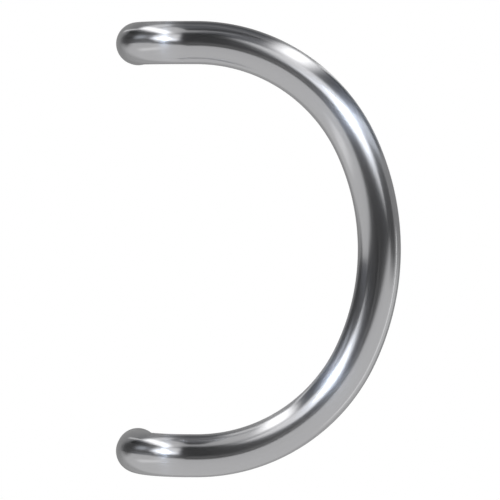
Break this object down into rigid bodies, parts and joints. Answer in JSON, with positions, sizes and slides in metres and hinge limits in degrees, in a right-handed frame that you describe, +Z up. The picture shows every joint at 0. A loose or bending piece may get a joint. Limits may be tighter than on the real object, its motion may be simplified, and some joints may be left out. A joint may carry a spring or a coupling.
{
  "type": "door pull handle",
  "caption": "C-shaped door pull of polished round bar: a wide bow between short legs, tapped for bolts that come through the door.",
  "frame": {"origin": "midway between the two fixing holes, on the face of the door that the legs seat on", "axes": "+X runs along the door from the legs to the crown of the bow, +Y into the door along the fixing holes, +Z up along the line from the lower leg to the upper one"},
  "size_m": [0.2119, 0.0698, 0.3366],
  "materials": {
    "polished_steel": "polished stainless steel"
  },
  "bodies": {
    "root": {"pull_handle": "polished_steel"}
  },
  "joints": []
}
